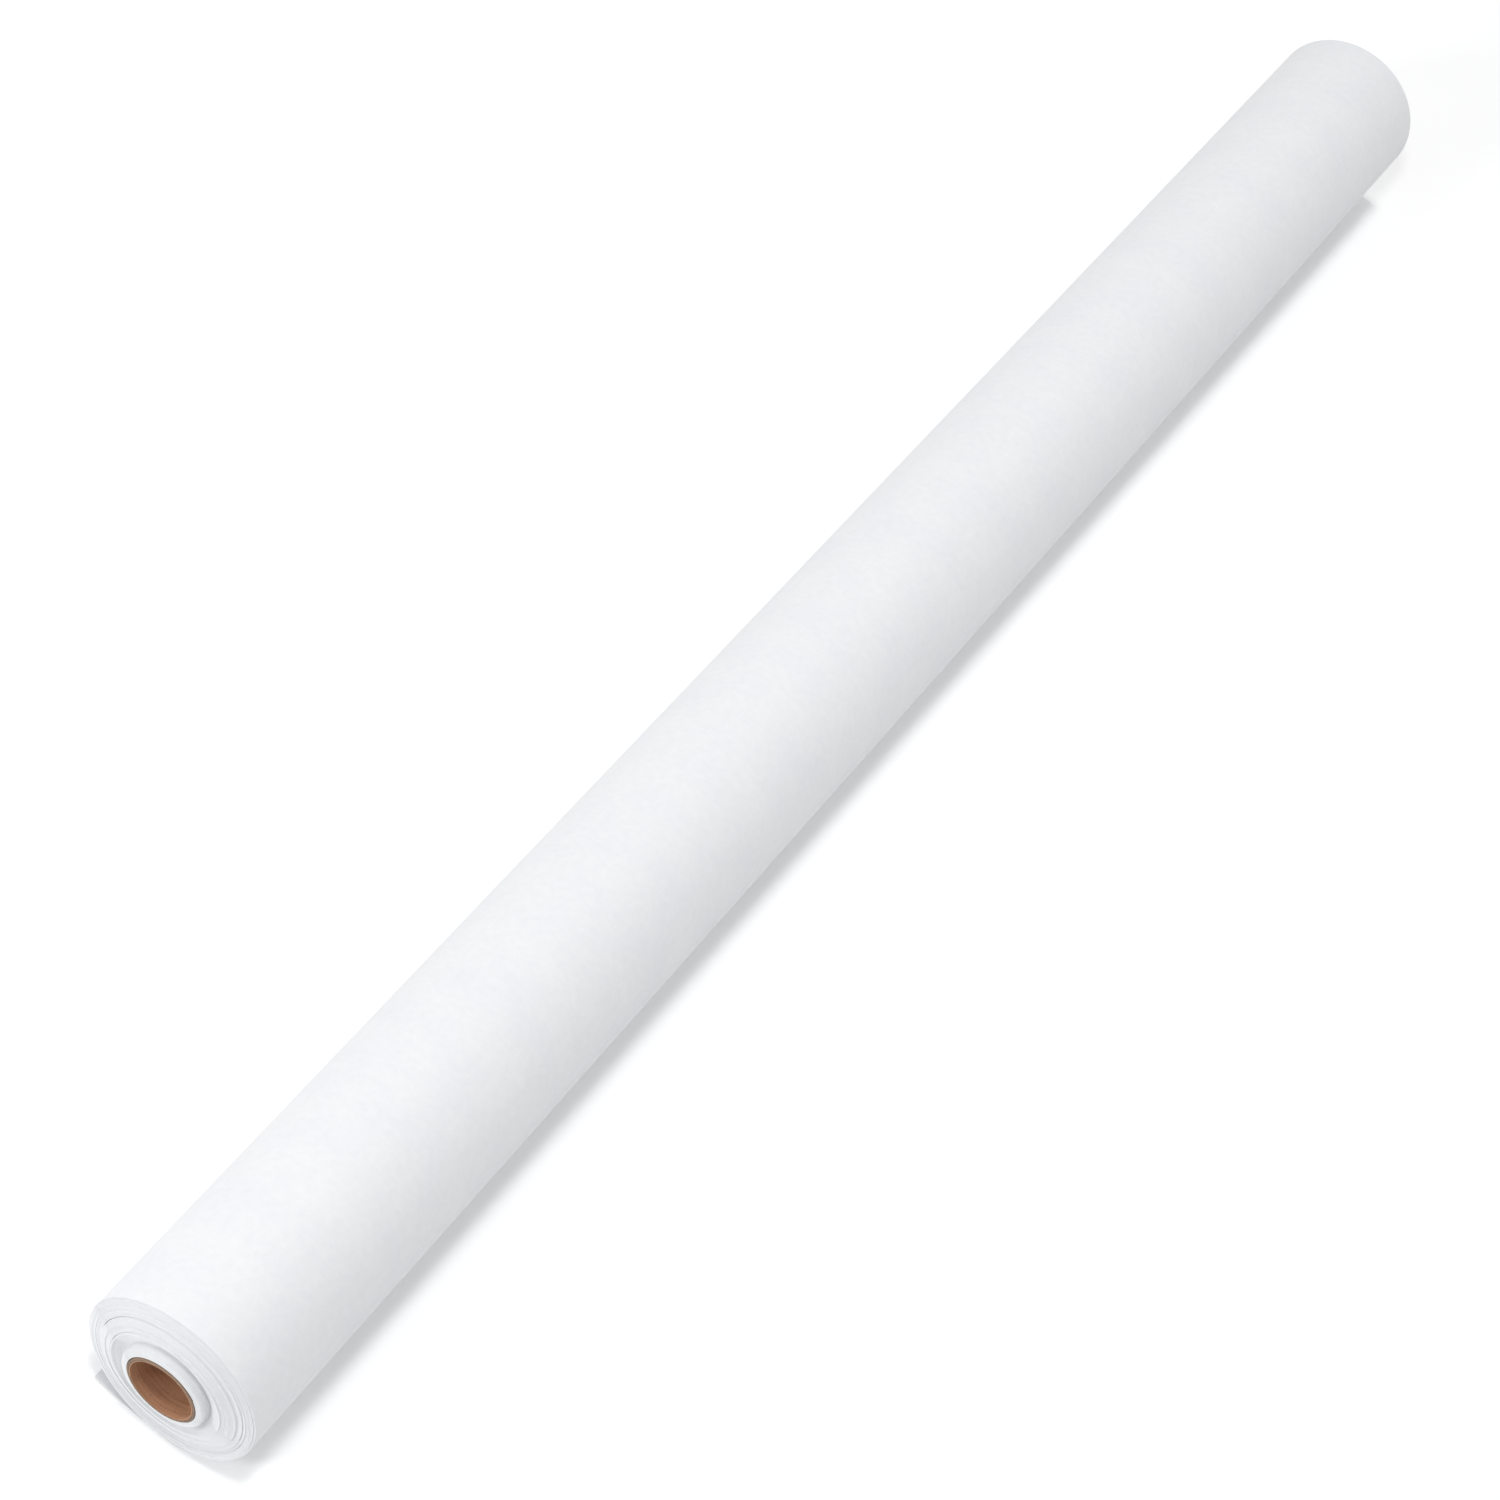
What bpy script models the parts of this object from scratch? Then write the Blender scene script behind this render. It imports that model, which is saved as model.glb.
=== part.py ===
"""Backdrop paper roll: one long paper sheet wound on a spiral-wound kraft core.

The roll lies on its last turn with its axis along X. The sheet's free end lies flat beside it, at +Y.
The origin is on the surface that the roll lies on, below the middle of the roll's box. Units are metres.
"""
import math

import bpy
from mathutils import Matrix

MM = 0.001

# Driving dimensions
SHEET_WIDTH = 1016 * MM
ROLL_RADIUS = 40.7 * MM
CORE_OUTER_RADIUS = 16.4 * MM
CORE_WALL = 1.5 * MM
PLY_THICKNESS = 0.3 * MM
SHEET_THICKNESS = 0.3 * MM
TAIL_LENGTH = 31.0 * MM
HINGE_Y = 12.0 * MM
TAPE_THICKNESS = 0.15 * MM

# Clearances between neighbours
LAYER_GAP = 0.3 * MM
PLY_GAP = 0.15 * MM

# How far behind the core's near end each wrap's edge lies, as (radius, setback)
COLLAR_EDGE = [(16.8 * MM, 0.2 * MM), (18.6 * MM, 0.3 * MM), (20.0 * MM, 0.9 * MM)]
WRAPS_EDGE = [
    (20.3 * MM, 5.3 * MM),
    (22.8 * MM, 4.4 * MM),
    (26.4 * MM, 2.6 * MM),
    (29.5 * MM, 3.6 * MM),
    (32.6 * MM, 4.7 * MM),
    (32.9 * MM, 5.5 * MM),
    (36.5 * MM, 6.7 * MM),
    (40.1 * MM, 7.7 * MM),
]
OUTER_SETBACK = 7.7 * MM
TAIL_SETBACK = 4.6 * MM

# Spiral-wound plies of the core
PLY_LEAD = 150 * MM
PLY_SEAM = 0.4 * MM
LINER_PHASE = 20 * MM
COVER_PHASE = 95 * MM
# A helix starts before the near end and ends past the far end, and is then cut to the core's length
SPARE_TURNS = 2
CUTTER_ACROSS = 66 * MM

# Every round piece has the same facets, with one flat underneath and each flat on its true radius
FACETS = 28
HALF_FACET = math.pi / FACETS
TAPE_FACETS = 7
FULL_TURN = 2 * math.pi
WELD = 0.00001
EMPTY_SIZE = 30 * MM

NEAR_END = -(OUTER_SETBACK + SHEET_WIDTH) / 2
AXIS_HEIGHT = ROLL_RADIUS

PAPER_COLOUR = (0.86, 0.87, 0.89)
KRAFT_COLOUR = (0.42, 0.27, 0.16)
LINER_COLOUR = (0.36, 0.23, 0.14)
TAPE_COLOUR = (0.80, 0.74, 0.58)


def clear_scene():
    for item in list(bpy.data.objects):
        bpy.data.objects.remove(item, do_unlink=True)


def new_collection(name):
    group = bpy.data.collections.new(name)
    bpy.context.scene.collection.children.link(group)
    return group


def new_material(name, colour, roughness):
    surface = bpy.data.materials.new(name)
    surface.use_nodes = True
    shader = surface.node_tree.nodes["Principled BSDF"]
    shader.inputs["Base Color"].default_value = (*colour, 1.0)
    shader.inputs["Roughness"].default_value = roughness
    shader.inputs["Metallic"].default_value = 0.0
    surface.diffuse_color = (*colour, 1.0)
    return surface


def new_object(name, points, edges, faces, group, surface):
    mesh = bpy.data.meshes.new(name)
    mesh.from_pydata(points, edges, faces)
    mesh.update()
    item = bpy.data.objects.new(name, mesh)
    group.objects.link(item)
    mesh.materials.append(surface)
    return item


def new_empty(name, location, group, parent=None):
    empty = bpy.data.objects.new(name, None)
    empty.empty_display_size = EMPTY_SIZE
    group.objects.link(empty)
    empty.parent = parent
    empty.location = location
    return empty


def vertex_radius(flat_radius):
    """The radius at a facet's corner, when its flat lies on flat_radius."""
    return flat_radius / math.cos(HALF_FACET)


def profile_point(radius, height):
    """A point of a profile turned about Z, half a facet round from +X so that a flat is centred there."""
    corner = vertex_radius(radius)
    return (corner * math.cos(HALF_FACET), corner * math.sin(HALF_FACET), height)


def lay_along_axis(item, axis_empty):
    """Lays a piece turned about Z along the roll's axis: its +Z to the far end, its +X downwards."""
    item.parent = axis_empty
    item.rotation_euler = (0.0, math.radians(90), 0.0)


def add_screw(item, angle, steps, lead=0.0, turns=1):
    screw = item.modifiers.new("Turn", "SCREW")
    screw.axis = "Z"
    screw.angle = angle
    screw.steps = steps
    screw.render_steps = steps
    screw.screw_offset = lead
    screw.iterations = turns
    screw.use_smooth_shade = True
    screw.use_merge_vertices = lead == 0.0 and angle == FULL_TURN
    screw.merge_threshold = WELD
    return screw


def add_thickness(item, thickness, offset):
    solid = item.modifiers.new("Thickness", "SOLIDIFY")
    solid.thickness = thickness
    solid.offset = offset
    solid.use_even_offset = True
    return solid


def turned_ring(name, outline, group, surface, axis_empty):
    """A ring turned from a closed outline of (radius, height) that runs down its outer side."""
    points = [profile_point(radius, height) for radius, height in outline]
    edges = [(i, (i + 1) % len(points)) for i in range(len(points))]
    item = new_object(name, points, edges, [], group, surface)
    add_screw(item, FULL_TURN, FACETS)
    lay_along_axis(item, axis_empty)
    return item


def wound_band(name, edge, group, surface, axis_empty):
    """Many turns of the sheet as one ring. Both ends follow the same edge, one sheet width apart."""
    outward = list(edge)
    inward = outward[::-1]
    outline = [(outward[-1][0], SHEET_WIDTH + outward[-1][1])]
    outline += inward
    outline += [(radius, SHEET_WIDTH + setback) for radius, setback in outward[:-1]]
    return turned_ring(name, outline, group, surface, axis_empty)


def spiral_ply(name, inner_radius, phase, group, surface, axis_empty, cutter):
    """A kraft strip wound in a helix, each turn butted to the next, cut square at the core's ends."""
    low = phase - SPARE_TURNS * PLY_LEAD
    points = [
        profile_point(inner_radius, low + PLY_LEAD - PLY_SEAM),
        profile_point(inner_radius, low),
    ]
    item = new_object(name, points, [(0, 1)], [], group, surface)
    turns = math.ceil(SHEET_WIDTH / PLY_LEAD) + SPARE_TURNS
    add_screw(item, FULL_TURN, FACETS, PLY_LEAD, turns)
    add_thickness(item, PLY_THICKNESS, 1.0)
    trim = item.modifiers.new("Cut to length", "BOOLEAN")
    trim.operation = "INTERSECT"
    trim.solver = "EXACT"
    trim.object = cutter
    lay_along_axis(item, axis_empty)
    return item


def length_cutter(group, axis_empty):
    """A box as long as the core, used to cut the spiral plies square."""
    bpy.ops.mesh.primitive_cube_add(size=1.0)
    cutter = bpy.context.active_object
    cutter.name = "length_cutter"
    for owner in list(cutter.users_collection):
        owner.objects.unlink(cutter)
    group.objects.link(cutter)
    cutter.data.transform(Matrix.Diagonal((CUTTER_ACROSS, CUTTER_ACROSS, SHEET_WIDTH, 1.0)))
    cutter.data.transform(Matrix.Translation((0.0, 0.0, SHEET_WIDTH / 2)))
    cutter.hide_render = True
    cutter.display_type = "WIRE"
    lay_along_axis(cutter, axis_empty)
    return cutter


def core_board(inner_radius, outer_radius, group, surface, axis_empty):
    """The core's middle plies, glued with staggered joints into one plain tube."""
    outline = [
        (outer_radius, SHEET_WIDTH),
        (outer_radius, 0.0),
        (inner_radius, 0.0),
        (inner_radius, SHEET_WIDTH),
    ]
    return turned_ring("core_board", outline, group, surface, axis_empty)


def start_tape(group, surface, axis_empty):
    """The tape that holds the sheet's inner edge to the core, along the core's whole length."""
    radius = CORE_OUTER_RADIUS + PLY_GAP
    points = [profile_point(radius, SHEET_WIDTH), profile_point(radius, 0.0)]
    item = new_object("start_tape", points, [(0, 1)], [], group, surface)
    add_screw(item, FULL_TURN * TAPE_FACETS / FACETS, TAPE_FACETS)
    add_thickness(item, TAPE_THICKNESS, 1.0)
    lay_along_axis(item, axis_empty)
    return item


def last_turn_path():
    """The last turn's outside, as (y, z): in along the floor, then up the -Y side, over and down."""
    corner = vertex_radius(ROLL_RADIUS)
    path = [(HINGE_Y - LAYER_GAP / 2, 0.0)]
    for k in range(FACETS - 1):
        angle = HALF_FACET * (2 * k + 1)
        path.append((-corner * math.sin(angle), AXIS_HEIGHT - corner * math.cos(angle)))
    # The turn ends a sheet's thickness and a gap above the part of it that lies on the floor
    end_height = SHEET_THICKNESS + LAYER_GAP
    upper_y = corner * math.sin(3 * HALF_FACET)
    upper_z = AXIS_HEIGHT - corner * math.cos(3 * HALF_FACET)
    lower_y = corner * math.sin(HALF_FACET)
    share = (upper_z - end_height) / upper_z
    path.append((upper_y + share * (lower_y - upper_y), end_height))
    return path


def outer_turn(group, surface, axis_empty):
    """The last turn, whose edges drift from the tail's setback to the roll's as it winds in."""
    path = last_turn_path()
    points = []
    for k, (y, z) in enumerate(path):
        share = k / (len(path) - 1)
        setback = TAIL_SETBACK + share * (OUTER_SETBACK - TAIL_SETBACK)
        points.append((NEAR_END + setback, y, z - AXIS_HEIGHT))
        points.append((NEAR_END + setback + SHEET_WIDTH, y, z - AXIS_HEIGHT))
    faces = [(2 * k, 2 * k + 1, 2 * k + 3, 2 * k + 2) for k in range(len(path) - 1)]
    item = new_object("outer_turn", points, [], faces, group, surface)
    add_thickness(item, SHEET_THICKNESS, -1.0)
    item.parent = axis_empty
    # The axis empty sits at the near end, and these points are measured from the roll's middle
    item.location = (-NEAR_END, 0.0, 0.0)
    return item


def tail_flap(group, surface, hinge_empty):
    """The sheet's free end, flat on the floor, with its origin on the line that it bends along."""
    bpy.ops.mesh.primitive_cube_add(size=1.0)
    item = bpy.context.active_object
    item.name = "tail_flap"
    for owner in list(item.users_collection):
        owner.objects.unlink(item)
    group.objects.link(item)
    length = TAIL_LENGTH - HINGE_Y - LAYER_GAP / 2
    item.data.transform(Matrix.Diagonal((SHEET_WIDTH, length, SHEET_THICKNESS, 1.0)))
    middle_x = NEAR_END + TAIL_SETBACK + SHEET_WIDTH / 2
    item.data.transform(Matrix.Translation((middle_x, LAYER_GAP / 2 + length / 2, 0.0)))
    item.data.materials.append(surface)
    item.parent = hinge_empty
    return item


def build():
    clear_scene()
    parts = new_collection("backdrop_paper_roll")
    cutters = new_collection("cutters")

    roll_axis = new_empty("roll_axis", (NEAR_END, 0.0, AXIS_HEIGHT), parts)
    core_axis = new_empty("core_axis", (0.0, 0.0, 0.0), parts, roll_axis)
    hinge_place = (-NEAR_END, HINGE_Y, SHEET_THICKNESS / 2 - AXIS_HEIGHT)
    tail_hinge = new_empty("tail_hinge", hinge_place, parts, roll_axis)

    liner_radius = CORE_OUTER_RADIUS - CORE_WALL
    board_inner = liner_radius + PLY_THICKNESS + PLY_GAP
    cover_radius = CORE_OUTER_RADIUS - PLY_THICKNESS
    board_outer = cover_radius - PLY_GAP

    cutter = length_cutter(cutters, core_axis)
    liner = new_material("liner_kraft", LINER_COLOUR, 0.85)
    spiral_ply("core_liner_ply", liner_radius, LINER_PHASE, parts, liner, core_axis, cutter)
    board = new_material("board_kraft", KRAFT_COLOUR, 0.9)
    core_board(board_inner, board_outer, parts, board, core_axis)
    cover = new_material("cover_kraft", KRAFT_COLOUR, 0.8)
    spiral_ply("core_cover_ply", cover_radius, COVER_PHASE, parts, cover, core_axis, cutter)
    start_tape(parts, new_material("tape", TAPE_COLOUR, 0.5), core_axis)

    collar = new_material("collar_paper", PAPER_COLOUR, 0.85)
    wound_band("inner_wraps", COLLAR_EDGE, parts, collar, core_axis)
    wraps = new_material("wound_paper", PAPER_COLOUR, 0.85)
    wound_band("wound_wraps", WRAPS_EDGE, parts, wraps, roll_axis)
    outer_turn(parts, new_material("outer_paper", PAPER_COLOUR, 0.85), roll_axis)
    tail_flap(parts, new_material("tail_paper", PAPER_COLOUR, 0.85), tail_hinge)


build()
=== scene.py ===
"""Looks of the backdrop paper roll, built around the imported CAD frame.

The sheet is modelled as it is: one thin sheet, wound in a spiral of about 84 turns from the core outwards.
It is cut into pieces only where the CAD's bodies part. Lengths are metres. Angles are radians, except in
leaning(), which takes degrees.
"""

import math

import bpy
import numpy as np
from mathutils import Matrix, Vector


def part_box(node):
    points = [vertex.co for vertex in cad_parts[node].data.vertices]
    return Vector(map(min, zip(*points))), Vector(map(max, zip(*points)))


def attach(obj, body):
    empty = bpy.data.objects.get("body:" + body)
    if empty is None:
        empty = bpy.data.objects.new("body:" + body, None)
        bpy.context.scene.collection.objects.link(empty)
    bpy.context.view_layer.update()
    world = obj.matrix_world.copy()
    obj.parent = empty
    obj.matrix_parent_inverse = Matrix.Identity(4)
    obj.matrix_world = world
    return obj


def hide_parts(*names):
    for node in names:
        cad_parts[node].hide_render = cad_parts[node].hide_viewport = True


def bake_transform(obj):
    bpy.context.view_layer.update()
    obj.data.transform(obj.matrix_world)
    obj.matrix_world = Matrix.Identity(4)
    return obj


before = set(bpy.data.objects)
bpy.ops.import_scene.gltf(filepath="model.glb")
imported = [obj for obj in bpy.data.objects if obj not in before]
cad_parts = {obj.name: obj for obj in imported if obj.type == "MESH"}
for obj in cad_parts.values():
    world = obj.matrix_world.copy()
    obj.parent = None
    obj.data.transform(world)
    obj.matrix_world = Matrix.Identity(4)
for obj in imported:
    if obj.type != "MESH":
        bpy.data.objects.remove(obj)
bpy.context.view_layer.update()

MM = 0.001
FULL_TURN = 2 * math.pi
BOTTOM = -math.pi / 2

# Gaps and walls of the core's plies
LINER_WALL = 0.3 * MM
PLY_GAP = 0.03 * MM

# Places and sizes that the frame gives
turn_low, turn_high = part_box("outer_turn")
board_low, board_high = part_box("core_board")
tail_low, tail_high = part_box("tail_flap")
ROLL_RADIUS = (turn_high.z - turn_low.z) / 2
AXIS_HEIGHT = (turn_high.z + turn_low.z) / 2
CORE_NEAR = board_low.x
CORE_LENGTH = board_high.x - board_low.x
SHEET_WIDTH = tail_high.x - tail_low.x
COLLAR_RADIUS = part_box("inner_wraps")[1].y
LINER_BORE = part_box("core_liner_ply")[1].y - LINER_WALL
BOARD_OUTER = board_high.y
COVER_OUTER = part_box("core_cover_ply")[1].y
TAIL_LENGTH = tail_high.y

# The sheet. It is drawn thicker than the real 0.2 mm, so that the gaps between turns don't look too dark
SHEET_LENGTH = 15.24
SHEET_THICKNESS = 0.25 * MM
# Room for the tape between the core and the first turn
TAPE_ROOM = 0.42 * MM
SHEET_START = COVER_OUTER + TAPE_ROOM
SHEET_LAST = ROLL_RADIUS - SHEET_THICKNESS / 2
# Gap along the sheet where one piece of it ends and the next starts
CUT_GAP = 0.25 * MM
TURN_STEPS = 120


# ---------------------------------------------------------------- camera

# Where the camera stands from the middle of the core's near end, in roll radii, and how it is turned
CAMERA_PLACE = Vector((-14.808, -6.468, 32.133))
CAMERA_AZIMUTH = math.radians(14.459)
CAMERA_ELEVATION = math.radians(51.106)
CAMERA_ROLL = math.radians(24.316)
CAMERA_LENS = 89.565
CAMERA_SENSOR = 36.0
CAMERA_NEAREST = 0.05
CAMERA_FARTHEST = 60.0


def add_camera():
    data = bpy.data.cameras.new("camera")
    data.sensor_width = CAMERA_SENSOR
    data.lens = CAMERA_LENS
    data.clip_start = CAMERA_NEAREST
    data.clip_end = CAMERA_FARTHEST
    camera = bpy.data.objects.new("camera", data)
    bpy.context.scene.collection.objects.link(camera)
    level = math.cos(CAMERA_ELEVATION)
    ahead = Vector((
        level * math.cos(CAMERA_AZIMUTH),
        level * math.sin(CAMERA_AZIMUTH),
        -math.sin(CAMERA_ELEVATION),
    ))
    turned = ahead.to_track_quat("-Z", "Y").to_matrix() @ Matrix.Rotation(CAMERA_ROLL, 3, "Z")
    place = Vector((CORE_NEAR, 0.0, AXIS_HEIGHT)) + CAMERA_PLACE * ROLL_RADIUS
    camera.matrix_world = Matrix.Translation(place) @ turned.to_4x4()
    bpy.context.scene.camera = camera


# ---------------------------------------------------------------- the sheet's path

# Setback of the wraps' edges behind the core's near end, in roll radii, by radius in roll radii
EDGE_RADII = [0.41, 0.455, 0.475, 0.492, 0.5, 0.56, 0.65, 0.725, 0.80, 0.815, 0.9, 0.96, 1.0]
EDGE_SETBACKS = [0.006, 0.010, 0.018, 0.040, 0.120, 0.108, 0.066, 0.088, 0.112, 0.132, 0.158, 0.175, 0.190]

# At the bottom, where the free end leaves, the outer turns lie less far back, in roll radii
LEAD = 0.085
LEAD_DIRECTION = math.radians(-107)
LEAD_FROM = 0.70
LEAD_FOCUS = 1.6

# Places where the winding is loose: (radius in roll radii, extra gap, direction of the widest gap)
LOOSE_PLACES = [
    (0.503, 0.15 * MM, math.radians(-120)),
    (0.66, 0.20 * MM, math.radians(60)),
    (0.806, 0.24 * MM, math.radians(50)),
    (0.90, 0.18 * MM, math.radians(200)),
]
LOOSE_FOCUS = 1.5

# The near edge wanders from turn to turn: bundles of turns step back or forward together and lean, and each
# turn has a fine unevenness of its own. In the collar the wandering is quieter.
WANDER_SEED = 11
BUNDLE_TURNS = (3.0, 7.0)
BUNDLE_STEP = 0.26 * MM
BUNDLE_LEAN = 0.22 * MM
STEP_TURNS = 0.35
FINE_SPREAD = 0.035 * MM
FINE_PER_TURN = 7.0
FINE_POINTS = 4000
SPARE_TURNS = 2
COLLAR_QUIET = 0.25
QUIET_UNTIL = 0.5
QUIET_FADE = 0.1


def smooth(x):
    """Rises from 0 to 1 while x does, with level ends."""
    x = np.clip(x, 0.0, 1.0)
    return x * x * (3 - 2 * x)


def facing(angle, direction):
    """1 in a direction about the axis, 0 in the opposite one, and between them round the turn."""
    return 0.5 + 0.5 * np.cos(angle - direction)


# The spiral's pitch, from the sheet's length and the ring that it fills
PITCH = math.pi * (SHEET_LAST ** 2 - SHEET_START ** 2) / (SHEET_LENGTH - TAIL_LENGTH)
TURNS = (SHEET_LAST - SHEET_START) / PITCH


def direction_of(turn):
    """The angle about the axis, from +Y towards +Z, at a place counted in turns from the inner end."""
    return BOTTOM - (TURNS - turn) * FULL_TURN


def radius_of(turn):
    """The sheet's middle radius. Loose places open a gap on one side, and the other turns close up."""
    share = turn / TURNS
    radius = SHEET_START + (SHEET_LAST - SHEET_START) * share
    angle = direction_of(turn)
    for place, gap, widest in LOOSE_PLACES:
        opens = (place * ROLL_RADIUS - SHEET_START) / PITCH
        extra = gap * facing(angle, widest) ** LOOSE_FOCUS
        radius = radius + extra * (smooth(turn - opens) - share)
    return radius


class EdgeWander:
    """How far the near edge wanders, by the place counted in turns."""

    def __init__(self, seed):
        draw = np.random.default_rng(seed)
        at = [0.0]
        while at[-1] < TURNS + SPARE_TURNS:
            at.append(at[-1] + draw.uniform(*BUNDLE_TURNS))
        self.at = np.array(at)
        self.step = draw.uniform(-BUNDLE_STEP, BUNDLE_STEP, len(at))
        self.lean = draw.uniform(-BUNDLE_LEAN, BUNDLE_LEAN, len(at))
        self.fine = draw.normal(0.0, FINE_SPREAD, FINE_POINTS)

    def __call__(self, turn):
        turn = np.asarray(turn, float)
        k = np.clip(np.searchsorted(self.at, turn) - 1, 0, len(self.at) - 2)
        into = turn - self.at[k]
        before = np.where(k > 0, self.step[k - 1], 0.0)
        level = before + (self.step[k] - before) * smooth(into / STEP_TURNS)
        slope = (into / (self.at[k + 1] - self.at[k]) - 0.5) * self.lean[k]
        place = turn * FINE_PER_TURN
        low = np.floor(place).astype(int)
        part = place - low
        fine = self.fine[low] * (1 - part) + self.fine[low + 1] * part
        return level + slope + fine


wander = EdgeWander(WANDER_SEED)


def setback_of(turn):
    """How far behind the core's near end the sheet's near edge lies."""
    radius = radius_of(turn) / ROLL_RADIUS
    back = np.interp(radius, EDGE_RADII, EDGE_SETBACKS)
    low = facing(direction_of(turn), LEAD_DIRECTION) ** LEAD_FOCUS
    back = back - LEAD * smooth((radius - LEAD_FROM) / (1 - LEAD_FROM)) * low
    quiet = COLLAR_QUIET + (1 - COLLAR_QUIET) * smooth((radius - QUIET_UNTIL) / QUIET_FADE)
    return back * ROLL_RADIUS + wander(turn) * quiet


# ---------------------------------------------------------------- meshes

SHEET_SHARP_ANGLE = math.radians(40)
BOARD_SHARP_ANGLE = math.radians(35)


def add_mesh(name, points, faces):
    mesh = bpy.data.meshes.new(name)
    mesh.from_pydata(points, [], faces)
    mesh.update()
    mesh.shade_smooth()
    piece = bpy.data.objects.new(name, mesh)
    bpy.context.scene.collection.objects.link(piece)
    return piece


def grid(x, y, z):
    """Points in rows and columns from their three coordinates, each spread over the grid as needed."""
    return np.stack(np.broadcast_arrays(x, y, z), axis=2)


def round_grid(x, radius, angle):
    """Points round the roll's axis, one row for each angle, and the directions out from the axis."""
    y = np.cos(angle)[:, None]
    z = np.sin(angle)[:, None]
    return grid(x, radius * y, AXIS_HEIGHT + radius * z), grid(0.0, y, z)


def grid_faces(rows, columns, start, flip):
    """Quads over a grid of points stored row by row."""
    r, c = np.meshgrid(np.arange(rows - 1), np.arange(columns - 1), indexing="ij")
    a = (start + r * columns + c).ravel()
    quads = np.stack([a, a + 1, a + columns + 1, a + columns], axis=1)
    return quads[:, ::-1] if flip else quads


def rim_faces(rows, columns):
    """The four narrow sides that close two grids into a sheet."""
    second = rows * columns
    border = list(range(columns))
    border += [r * columns + columns - 1 for r in range(1, rows)]
    border += [(rows - 1) * columns + c for c in range(columns - 2, -1, -1)]
    border += [r * columns for r in range(rows - 2, 0, -1)]
    a = np.array(border)
    b = np.roll(a, -1)
    return np.stack([a + second, b + second, b, a], axis=1)


def face_outwards(piece):
    """Turns every face round if the closed mesh has come out inside out."""
    mesh = piece.data
    mesh.calc_loop_triangles()
    count = len(mesh.loop_triangles)
    corners = np.empty(count * 3, np.int32)
    mesh.loop_triangles.foreach_get("vertices", corners)
    places = np.empty(len(mesh.vertices) * 3, np.float32)
    mesh.vertices.foreach_get("co", places)
    a, b, c = places.reshape(-1, 3)[corners.reshape(-1, 3)].astype(float).transpose(1, 0, 2)
    if (a * np.cross(b, c)).sum() < 0:
        mesh.flip_normals()


def sheet_mesh(name, middle, normal, across, along, thickness):
    """A closed thin sheet from its middle surface, a grid of points, and that surface's normals.

    across and along are each point's place on the flat sheet, which the materials read from the
    sheet_place attribute.
    """
    rows, columns = middle.shape[:2]
    outer = middle + normal * thickness / 2
    inner = middle - normal * thickness / 2
    points = np.concatenate([outer.reshape(-1, 3), inner.reshape(-1, 3)])
    faces = np.concatenate([
        grid_faces(rows, columns, 0, False),
        grid_faces(rows, columns, rows * columns, True),
        rim_faces(rows, columns),
    ])
    piece = add_mesh(name, points.tolist(), faces.tolist())
    face_outwards(piece)
    place = grid(along, across, 0.0).reshape(-1, 3)
    place = np.concatenate([place, place + np.array([0.0, 0.0, thickness])])
    attribute = piece.data.attributes.new("sheet_place", "FLOAT_VECTOR", "POINT")
    attribute.data.foreach_set("vector", place.astype(np.float32).ravel())
    piece.data.set_sharp_from_angle(angle=SHEET_SHARP_ANGLE)
    return piece


# ---------------------------------------------------------------- the wound sheet

def width_shares(edge_stations, middle_stations):
    """Places across the sheet as shares of its width: some close to each edge, the rest between."""
    edge = np.array(edge_stations) / SHEET_WIDTH
    middle = np.linspace(edge[-1], 1 - edge[-1], middle_stations)[1:-1]
    return np.concatenate([edge, middle, 1 - edge[::-1]])


def lengths_along(y, z):
    return np.concatenate([[0.0], np.cumsum(np.hypot(np.diff(y), np.diff(z)))])


def wound_path(first, last, steps_per_turn):
    """(turn, y, z, normal's y, normal's z) along the sheet's middle between two turn counts."""
    count = max(2, int(round((last - first) * steps_per_turn)) + 1)
    turn = np.linspace(first, last, count)
    angle = direction_of(turn)
    radius = radius_of(turn)
    y = radius * np.cos(angle)
    z = AXIS_HEIGHT + radius * np.sin(angle)
    return turn, y, z, np.cos(angle), np.sin(angle)


def sheet_surface(near, y, z, normal_y, normal_z, shares):
    """The sheet's middle surface and its normals: rows run along the sheet and columns across it."""
    middle = grid(near[:, None] + shares * SHEET_WIDTH, y[:, None], z[:, None])
    normal = grid(0.0, normal_y[:, None], normal_z[:, None])
    return middle, normal


def sheet_piece(name, middle, normal, shares, along):
    """A piece of the sheet. Returns it and the length of sheet in it."""
    piece = sheet_mesh(name, middle, normal, shares[None, :] * SHEET_WIDTH, along[:, None], SHEET_THICKNESS)
    return piece, along[-1] - along[0]


def wound_turns(name, first, last, shares, start_length):
    """Turns first to last of the sheet as one closed piece."""
    turn, y, z, normal_y, normal_z = wound_path(first, last, TURN_STEPS)
    near = CORE_NEAR + setback_of(turn)
    middle, normal = sheet_surface(near, y, z, normal_y, normal_z, shares)
    return sheet_piece(name, middle, normal, shares, lengths_along(y, z) + start_length)


# ---------------------------------------------------------------- the last turn and the tail

LAST_TURN_STEPS = 2 * TURN_STEPS
TAIL_STEPS = 56
# The free end's near corner lies further back than where it leaves the roll, as its edge is cut askew
TAIL_SLANT = 1.2 * MM
# The free end curls up towards its edge from this share of its length on, and more at its corners
CURL_START = 0.20
TAIL_CURL = 1.7 * MM
CORNER_CURL = 0.5 * MM
CORNER_REACH = 25 * MM
CURL_RIPPLE = 0.15
# The wound part stands off the turn below it by a hair here and there
STAND_OFF = 0.02 * MM


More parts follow.
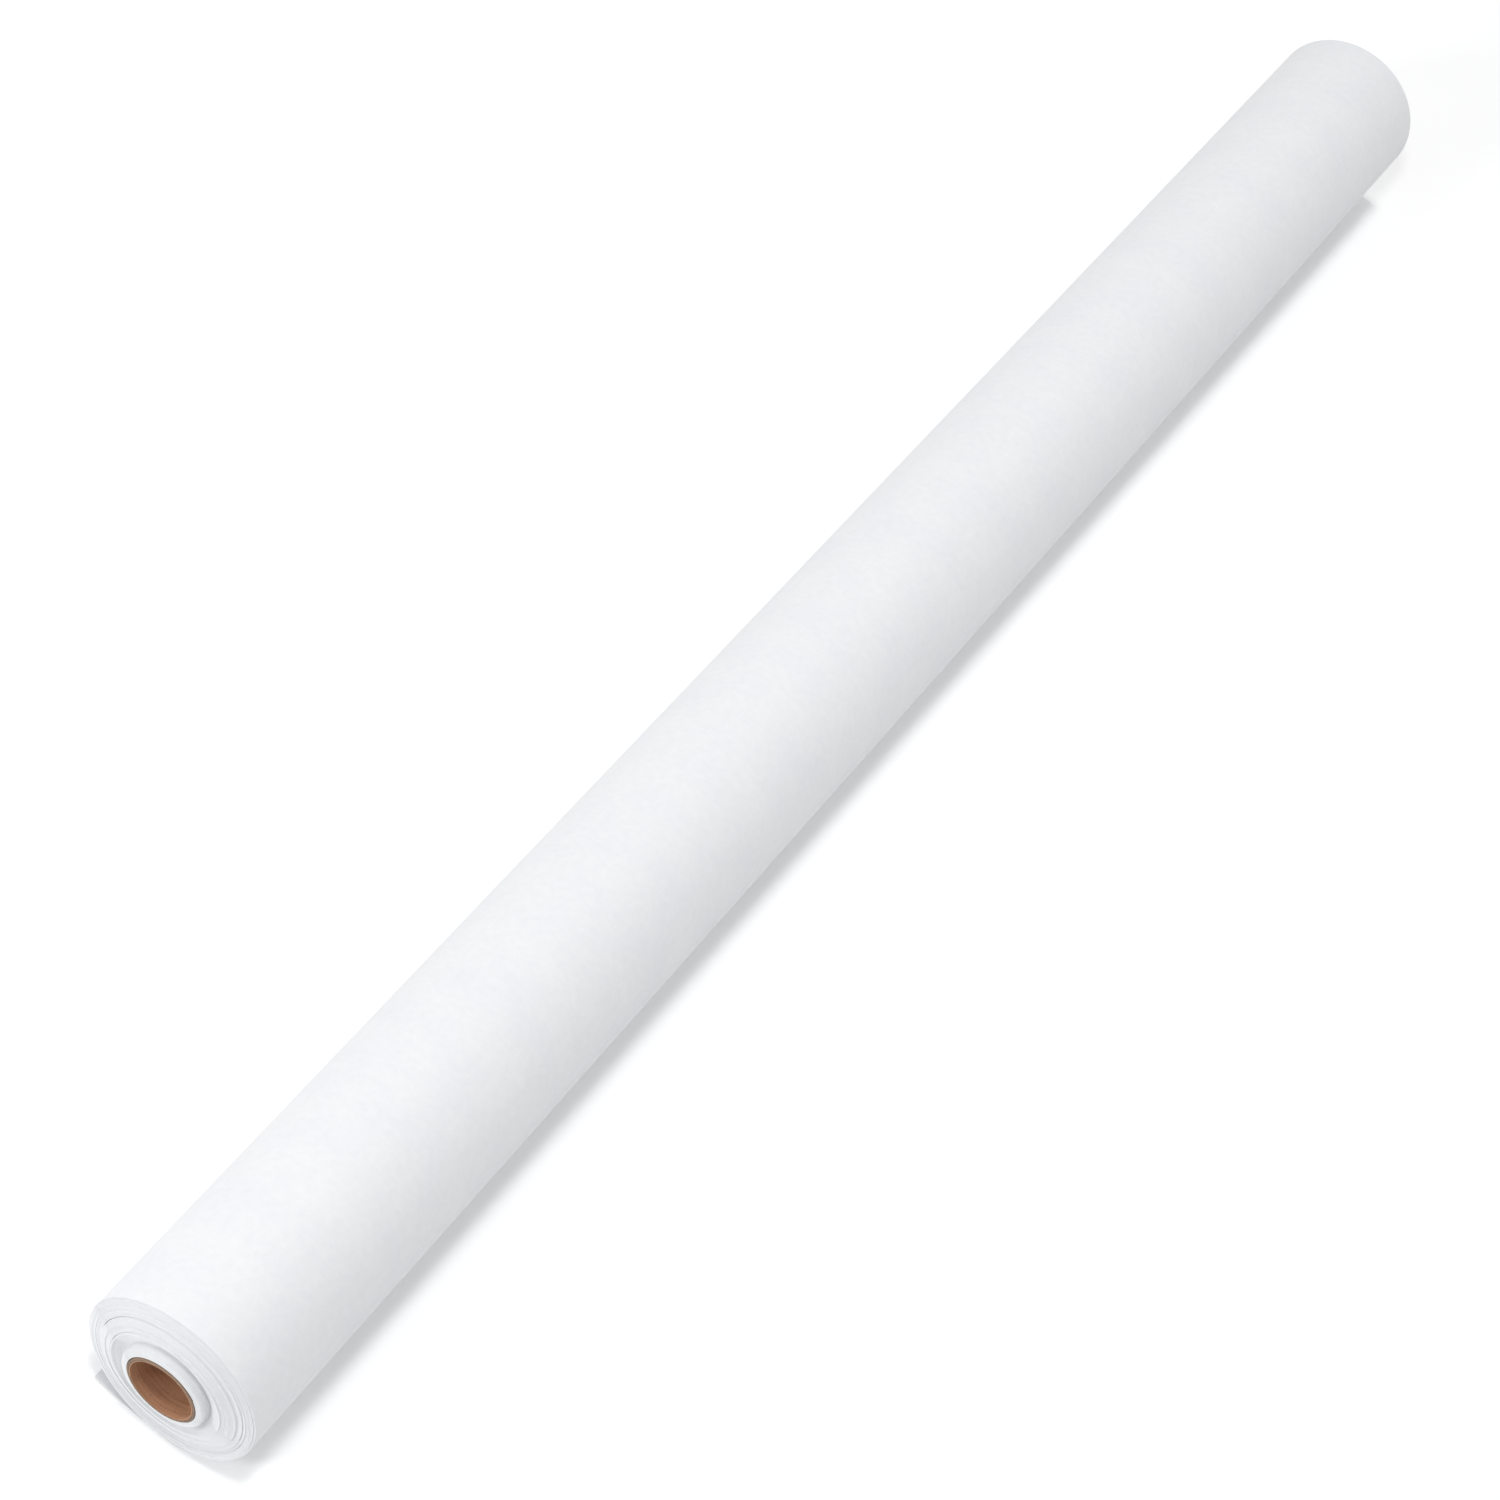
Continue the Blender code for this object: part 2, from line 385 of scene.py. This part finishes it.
def curl_rise(reach, shares):
    """How far the free end rises, by the share of its length and of its width."""
    lift = np.clip((reach - CURL_START) / (1 - CURL_START), 0.0, 1.0) ** 2
    from_edge = np.minimum(shares, 1 - shares) * SHEET_WIDTH
    corner = np.exp(-from_edge / CORNER_REACH)
    waves = np.sin(shares * 19.0 + 0.6) * np.sin(shares * 7.3 + 2.0)
    ripple = 1 - CURL_RIPPLE + CURL_RIPPLE * waves
    return lift[:, None] * (TAIL_CURL * ripple + CORNER_CURL * corner)[None, :]


def stand_off(along, shares, held):
    """How far the last turn stands off the one below: slow waves over it, and none where held is 0."""
    waves = np.sin(shares * 23.0 + 1.0)[None, :] * np.sin(along[:, None] * 31.0)
    waves = waves + np.sin(shares * 9.0)[None, :] * np.cos(along[:, None] * 14.0 + 0.8)
    return STAND_OFF * (waves + 1.0) * held[:, None]


def last_turn(name, shares, start_length):
    """The last turn, and the free end that runs on from it along the floor to +Y."""
    turn, y, z, normal_y, normal_z = wound_path(TURNS - 1, TURNS, LAST_TURN_STEPS)
    free = np.linspace(0.0, TAIL_LENGTH, TAIL_STEPS + 1)[1:]
    y = np.concatenate([y, free])
    z = np.concatenate([z, np.full(TAIL_STEPS, z[-1])])
    normal_y = np.concatenate([normal_y, np.zeros(TAIL_STEPS)])
    normal_z = np.concatenate([normal_z, np.full(TAIL_STEPS, -1.0)])
    along = lengths_along(y, z) + start_length
    back = setback_of(turn)
    near = CORE_NEAR + np.concatenate([back, back[-1] + TAIL_SLANT * (free / TAIL_LENGTH) ** 2])
    middle, normal = sheet_surface(near, y, z, normal_y, normal_z, shares)
    reach = np.concatenate([np.zeros(len(turn)), free / TAIL_LENGTH])
    middle[:, :, 2] += curl_rise(reach, shares)
    held = np.concatenate([np.sin(np.linspace(0, math.pi, len(turn))), np.zeros(TAIL_STEPS)])
    middle += normal * stand_off(along, shares, held)[:, :, None]
    return sheet_piece(name, middle, normal, shares, along)


# ---------------------------------------------------------------- the core

CORE_STEPS = 96
LINER_PHASE = 20 * MM
COVER_PHASE = 95 * MM
PLY_LEAD = 150 * MM
PLY_SEAM = 0.35 * MM
PLY_STATIONS = 5
# A ply's first and last sliver, in turns, is left off, so that no face has zero area
PLY_TRIM = 0.002

# The core's cut end shows four plies: every second one lies a little further back, with grooves between
END_PLIES = 4
END_GROOVE = 0.03 * MM
END_GROOVE_DEPTH = 0.12 * MM
END_STEP = 0.05 * MM

TAPE_THICKNESS = 0.12 * MM
TAPE_WIDTH = 25 * MM
TAPE_LIFT = 0.1 * MM
TAPE_STEPS = 25
TAPE_STATIONS = 12
# Share of the core's length that the tape leaves bare at each end
TAPE_SHORT = 0.002


def spiral_ply(name, inner, outer, phase):
    """A kraft strip wound in a helix, its turns butted together and cut square at both ends."""
    start = -(PLY_LEAD + phase)
    first = max(0.0, -(start + PLY_LEAD - PLY_SEAM) / PLY_LEAD) + PLY_TRIM
    last = (CORE_LENGTH - start) / PLY_LEAD - PLY_TRIM
    turn = np.linspace(first, last, int((last - first) * CORE_STEPS))
    low = np.clip(start + turn * PLY_LEAD, 0.0, CORE_LENGTH)
    high = np.clip(start + turn * PLY_LEAD + PLY_LEAD - PLY_SEAM, 0.0, CORE_LENGTH)
    shares = np.linspace(0, 1, PLY_STATIONS)
    x = CORE_NEAR + low[:, None] + (high - low)[:, None] * shares
    angle = turn * FULL_TURN
    radius = (inner + outer) / 2
    middle, normal = round_grid(x, radius, angle)
    return sheet_mesh(name, middle, normal, x, (angle * radius)[:, None], outer - inner)


def board_profile(inner, outer):
    """(radius, setback from the core's end) over one cut end."""
    width = (outer - inner) / END_PLIES
    points = []
    for k in range(END_PLIES):
        low = inner + k * width
        setback = END_STEP if k % 2 else 0.0
        points += [(low + END_GROOVE, setback), (low + width - END_GROOVE, setback)]
        if k < END_PLIES - 1:
            points += [(low + width, setback + END_GROOVE_DEPTH)]
    return points


def board_tube(name, inner, outer):
    """The core's middle plies as one turned tube, with the plies showing in its cut ends."""
    end = board_profile(inner, outer)
    outline = end + [(r, CORE_LENGTH - s) for r, s in end[::-1]]
    radius, place = np.array(outline).T
    angle = np.linspace(0, FULL_TURN, CORE_STEPS, endpoint=False)
    points, _ = round_grid(CORE_NEAR + place, radius, angle)
    columns = len(outline)
    row, column = np.meshgrid(np.arange(CORE_STEPS), np.arange(columns), indexing="ij")
    after = (row + 1) % CORE_STEPS
    beside = (column + 1) % columns
    quads = np.stack([
        row * columns + column,
        row * columns + beside,
        after * columns + beside,
        after * columns + column,
    ], axis=2).reshape(-1, 4)
    piece = add_mesh(name, points.reshape(-1, 3).tolist(), quads.tolist())
    face_outwards(piece)
    piece.data.set_sharp_from_angle(angle=BOARD_SHARP_ANGLE)
    return piece


def tape_strip(name):
    """The tape under the sheet's inner end, along the whole core."""
    radius = COVER_OUTER + TAPE_LIFT + TAPE_THICKNESS / 2
    angle = direction_of(0.0) + np.linspace(-0.5, 0.5, TAPE_STEPS) * TAPE_WIDTH / radius
    shares = TAPE_SHORT + (1 - 2 * TAPE_SHORT) * np.linspace(0.0, 1.0, TAPE_STATIONS)
    x = (CORE_NEAR + shares * CORE_LENGTH)[None, :]
    middle, normal = round_grid(x, radius, angle)
    return sheet_mesh(name, middle, normal, x, (angle * radius)[:, None], TAPE_THICKNESS)


# ---------------------------------------------------------------- materials

# Colours as (dark, light) pairs, linear
PAPER_TONES = ((0.742, 0.755, 0.774), (0.770, 0.779, 0.790))
PAPER_SPECKS = ((0.955, 0.957, 0.962), (1.0, 1.0, 1.0))
PAPER_THREADS = ((0.972, 0.972, 0.972), (1.0, 1.0, 1.0))
LINER_TONES = ((0.36, 0.180, 0.098), (0.60, 0.325, 0.190))
COVER_TONES = ((0.24, 0.155, 0.100), (0.38, 0.260, 0.175))
KRAFT_BLOTCHES = ((0.86, 0.84, 0.82), (1.0, 1.0, 1.0))
KRAFT_SPECKS = ((0.70, 0.66, 0.62), (1.0, 1.0, 1.0))
BOARD_TONES = ((0.19, 0.135, 0.098), (0.33, 0.245, 0.180))
BOARD_BLOTCHES = ((0.85, 0.85, 0.85), (1.0, 1.0, 1.0))
TAPE_TONES = ((0.70, 0.62, 0.44), (0.80, 0.74, 0.58))
FLOOR_TONES = ((0.955, 0.958, 0.962), (0.965, 0.967, 0.970))

PAPER_IOR = 1.45
PAPER_SHEEN = 0.06
PAPER_SHEEN_ROUGHNESS = 0.5


class Nodes:
    """Short ways to add and join nodes in one material."""

    def __init__(self, name):
        self.material = bpy.data.materials.new(name)
        self.material.use_nodes = True
        self.tree = self.material.node_tree
        self.shader = self.tree.nodes["Principled BSDF"]

    def add(self, kind, **settings):
        node = self.tree.nodes.new(kind)
        for key, value in settings.items():
            setattr(node, key, value)
        return node

    def link(self, source, target):
        self.tree.links.new(source, target)

    def drive(self, socket, source):
        self.link(source, self.shader.inputs[socket])

    def sheet_place(self):
        """The place on the flat sheet: along it, across it, through it."""
        return self.add("ShaderNodeAttribute", attribute_name="sheet_place").outputs["Vector"]

    def object_place(self):
        return self.add("ShaderNodeTexCoord").outputs["Object"]

    def noise(self, vector, scale, detail, roughness=0.5):
        node = self.add("ShaderNodeTexNoise")
        node.inputs["Scale"].default_value = scale
        node.inputs["Detail"].default_value = detail
        node.inputs["Roughness"].default_value = roughness
        self.link(vector, node.inputs["Vector"])
        return node.outputs["Fac"]

    def grain(self, vector, scales, detail, roughness):
        """Noise with its own scale along each axis."""
        node = self.add("ShaderNodeMapping")
        node.inputs["Scale"].default_value = scales
        self.link(vector, node.inputs["Vector"])
        return self.noise(node.outputs["Vector"], 1.0, detail, roughness)

    def tones(self, value, low, high, colours):
        """The first colour up to low, the second from high on, and a blend between."""
        node = self.add("ShaderNodeValToRGB")
        for element, place, colour in zip(node.color_ramp.elements, (low, high), colours):
            element.position = place
            element.color = (*colour, 1.0)
        self.link(value, node.inputs["Fac"])
        return node.outputs["Color"]

    def range(self, value, low, high, to_low, to_high):
        node = self.add("ShaderNodeMapRange")
        node.inputs["From Min"].default_value = low
        node.inputs["From Max"].default_value = high
        node.inputs["To Min"].default_value = to_low
        node.inputs["To Max"].default_value = to_high
        self.link(value, node.inputs["Value"])
        return node.outputs["Result"]

    def times(self, first, second):
        """The product of two colours."""
        node = self.add("ShaderNodeMix", data_type="RGBA", blend_type="MULTIPLY")
        node.inputs["Factor"].default_value = 1.0
        self.link(first, node.inputs["A"])
        self.link(second, node.inputs["B"])
        return node.outputs["Result"]

    def sum(self, first, second, weight):
        """first + weight * second."""
        node = self.add("ShaderNodeMath", operation="MULTIPLY_ADD")
        node.inputs[1].default_value = weight
        self.link(second, node.inputs[0])
        self.link(first, node.inputs[2])
        return node.outputs["Value"]

    def bump(self, height, strength, distance):
        node = self.add("ShaderNodeBump")
        node.inputs["Strength"].default_value = strength
        node.inputs["Distance"].default_value = distance
        self.link(height, node.inputs["Height"])
        self.drive("Normal", node.outputs["Normal"])


def paper_material():
    """White uncoated paper: soft cloudy formation, short fibres, and a faint tooth."""
    nodes = Nodes("white_paper")
    place = nodes.sheet_place()
    cloud = nodes.grain(place, (34.0, 42.0, 1.0), 3.0, 0.55)
    mottle = nodes.grain(place, (240.0, 300.0, 1.0), 4.0, 0.6)
    fibre = nodes.grain(place, (900.0, 4200.0, 1.0), 2.0, 0.6)
    cross = nodes.grain(place, (3800.0, 1100.0, 1.0), 2.0, 0.6)
    fibres = nodes.sum(fibre, cross, 1.0)
    tone = nodes.tones(cloud, 0.30, 0.70, PAPER_TONES)
    speck = nodes.tones(mottle, 0.30, 0.66, PAPER_SPECKS)
    threads = nodes.tones(nodes.range(fibres, 0.6, 1.4, 0.0, 1.0), 0.25, 0.75, PAPER_THREADS)
    nodes.drive("Base Color", nodes.times(nodes.times(tone, speck), threads))
    nodes.drive("Roughness", nodes.range(mottle, 0.3, 0.7, 0.62, 0.74))
    nodes.shader.inputs["IOR"].default_value = PAPER_IOR
    nodes.shader.inputs["Sheen Weight"].default_value = PAPER_SHEEN
    nodes.shader.inputs["Sheen Roughness"].default_value = PAPER_SHEEN_ROUGHNESS
    nodes.bump(nodes.sum(fibres, mottle, 1.6), 0.30, 0.06 * MM)
    return nodes.material


def kraft_material(name, colours):
    """Brown kraft: long darker and lighter fibres, specks, and a soft tooth."""
    nodes = Nodes(name)
    place = nodes.sheet_place()
    streaks = nodes.grain(place, (45.0, 900.0, 1.0), 5.0, 0.65)
    blotch = nodes.grain(place, (60.0, 60.0, 60.0), 3.0, 0.5)
    specks = nodes.grain(place, (1500.0, 1500.0, 1500.0), 2.0, 0.5)
    base = nodes.tones(streaks, 0.30, 0.70, colours)
    shade = nodes.tones(blotch, 0.30, 0.70, KRAFT_BLOTCHES)
    spots = nodes.tones(specks, 0.28, 0.42, KRAFT_SPECKS)
    nodes.drive("Base Color", nodes.times(nodes.times(base, shade), spots))
    nodes.drive("Roughness", nodes.range(streaks, 0.3, 0.7, 0.66, 0.84))
    nodes.bump(nodes.sum(streaks, specks, 0.6), 0.5, 0.15 * MM)
    return nodes.material


def board_material():
    """The core's cut board, greyer than the kraft's face."""
    nodes = Nodes("core_board_kraft")
    place = nodes.object_place()
    fibre = nodes.grain(place, (2600.0, 700.0, 700.0), 4.0, 0.6)
    cloud = nodes.noise(place, 90.0, 3.0)
    base = nodes.tones(fibre, 0.30, 0.70, BOARD_TONES)
    shade = nodes.tones(cloud, 0.30, 0.70, BOARD_BLOTCHES)
    nodes.drive("Base Color", nodes.times(base, shade))
    nodes.drive("Roughness", nodes.range(fibre, 0.3, 0.7, 0.8, 0.95))
    nodes.bump(fibre, 0.6, 0.2 * MM)
    return nodes.material


def tape_material():
    """Thin cream paper tape with a fine crepe."""
    nodes = Nodes("cream_tape")
    crepe = nodes.grain(nodes.sheet_place(), (2500.0, 300.0, 1.0), 3.0, 0.5)
    nodes.drive("Base Color", nodes.tones(crepe, 0.3, 0.7, TAPE_TONES))
    nodes.drive("Roughness", nodes.range(crepe, 0.3, 0.7, 0.35, 0.5))
    nodes.bump(crepe, 0.4, 0.1 * MM)
    return nodes.material


# ---------------------------------------------------------------- the object

# Stations close to each edge of the sheet, and how many cross the rest of its width
EDGE_STATIONS = [0.0, 2.5 * MM, 9 * MM]
COLLAR_STATIONS = 4
BODY_STATIONS = 2
LAST_TURN_STATIONS = 90
TURN_SAMPLES = 4000


def dress(piece, material, slot, *nodes):
    piece.data.materials.append(material)
    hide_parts(*nodes)


def build_core():
    liner = spiral_ply("core_liner", LINER_BORE, LINER_BORE + LINER_WALL, LINER_PHASE)
    dress(liner, kraft_material("liner_kraft", LINER_TONES), "liner_kraft", "core_liner_ply")
    board = board_tube("core_plies", LINER_BORE + LINER_WALL + PLY_GAP, BOARD_OUTER)
    dress(board, board_material(), "board_kraft", "core_board")
    cover = spiral_ply("core_cover", BOARD_OUTER + PLY_GAP, COVER_OUTER, COVER_PHASE)
    dress(cover, kraft_material("cover_kraft", COVER_TONES), "board_kraft", "core_cover_ply")
    tape = tape_strip("inner_tape")
    dress(tape, tape_material(), "tape", "start_tape")
    for piece in (liner, board, cover, tape):
        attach(piece, "core")


def turn_at(radius):
    """The turn count at which the sheet reaches a radius."""
    turn = np.linspace(0.0, TURNS, TURN_SAMPLES)
    return float(np.interp(radius, radius_of(turn), turn))


def build_paper():
    paper = paper_material()
    cut = CUT_GAP / (FULL_TURN * COLLAR_RADIUS)
    collar_end = turn_at(COLLAR_RADIUS)

    shares = width_shares(EDGE_STATIONS, COLLAR_STATIONS)
    collar, used = wound_turns("collar_wraps", 0.0, collar_end - cut, shares, 0.0)
    dress(collar, paper, "white_paper", "inner_wraps")
    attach(collar, "core")

    shares = width_shares(EDGE_STATIONS[:2], BODY_STATIONS)
    done = used
    body, used = wound_turns("wound_sheet", collar_end, TURNS - 1 - cut, shares, done)
    dress(body, paper, "white_paper", "wound_wraps")
    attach(body, "roll")

    shares = width_shares(EDGE_STATIONS, LAST_TURN_STATIONS)
    done += used
    outer, used = last_turn("last_turn_and_tail", shares, done)
    dress(outer, paper, "white_paper", "outer_turn", "tail_flap")
    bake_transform(outer)


# ---------------------------------------------------------------- stage and light

FLOOR_SIDE = 14.0
# The floor lies a hair below the sheet, so that the two don't touch
FLOOR_DROP = 0.15 * MM
FLOOR_ROUGHNESS = 0.9
# The floor is a table that glows a little, as a lit acrylic one does, so that it stays white round the roll
FLOOR_GLOW = 0.045

WORLD_STRENGTH = 0.60
# The lights stand this far from a point a little nearer the near end than the middle
LIGHT_DISTANCE = 1.7
LIT_POINT = Vector((-0.3, 0.0, AXIS_HEIGHT))


def build_floor():
    half = FLOOR_SIDE / 2
    points = [(-half, -half, 0.0), (half, -half, 0.0), (half, half, 0.0), (-half, half, 0.0)]
    floor = add_mesh("floor", points, [(0, 1, 2, 3)])
    floor.location.z = -FLOOR_DROP
    nodes = Nodes("floor_white")
    cloud = nodes.noise(nodes.object_place(), 3.0, 2.0)
    nodes.drive("Base Color", nodes.tones(cloud, 0.3, 0.7, FLOOR_TONES))
    nodes.shader.inputs["Roughness"].default_value = FLOOR_ROUGHNESS
    nodes.shader.inputs["Specular IOR Level"].default_value = 0.0
    nodes.shader.inputs["Emission Color"].default_value = (1.0, 1.0, 1.0, 1.0)
    nodes.shader.inputs["Emission Strength"].default_value = FLOOR_GLOW
    floor.data.materials.append(nodes.material)


def leaning(across, ahead):
    """The direction to a light that leans from straight up to +Y, then to the near end, in degrees."""
    a = math.radians(across)
    t = math.radians(ahead)
    return (-math.sin(t), math.cos(t) * math.sin(a), math.cos(t) * math.cos(a))


# (name, direction from the lit point, side, power)
SOFTBOXES = [
    ("overhead", leaning(0, 14), 0.25, 6.8),
    ("overhead_far", leaning(3, -32), 0.25, 6.8),
    ("low_left", (-0.6, 1.0, 0.32), 0.6, 2.0),
    ("front_left", (-1.0, 0.5, 0.75), 0.35, 7.2),
    ("low_front", (-1.0, 0.1, 0.14), 0.35, 1.2),
]


def add_softbox(name, direction, side, power):
    data = bpy.data.lights.new(name, "AREA")
    data.shape = "SQUARE"
    data.size = side
    data.energy = power
    light = bpy.data.objects.new(name, data)
    bpy.context.scene.collection.objects.link(light)
    light.location = LIT_POINT + LIGHT_DISTANCE * Vector(direction).normalized()
    light.rotation_mode = "QUATERNION"
    light.rotation_quaternion = Vector(direction).to_track_quat("Z", "Y")


def build_light():
    world = bpy.data.worlds.new("studio")
    world.use_nodes = True
    background = world.node_tree.nodes["Background"]
    background.inputs["Color"].default_value = (1.0, 1.0, 1.0, 1.0)
    background.inputs["Strength"].default_value = WORLD_STRENGTH
    bpy.context.scene.world = world
    for softbox in SOFTBOXES:
        add_softbox(*softbox)
    bpy.context.scene.view_settings.view_transform = "Standard"
    bpy.context.scene.view_settings.look = "None"


add_camera()
build_core()
build_paper()
build_floor()
build_light()
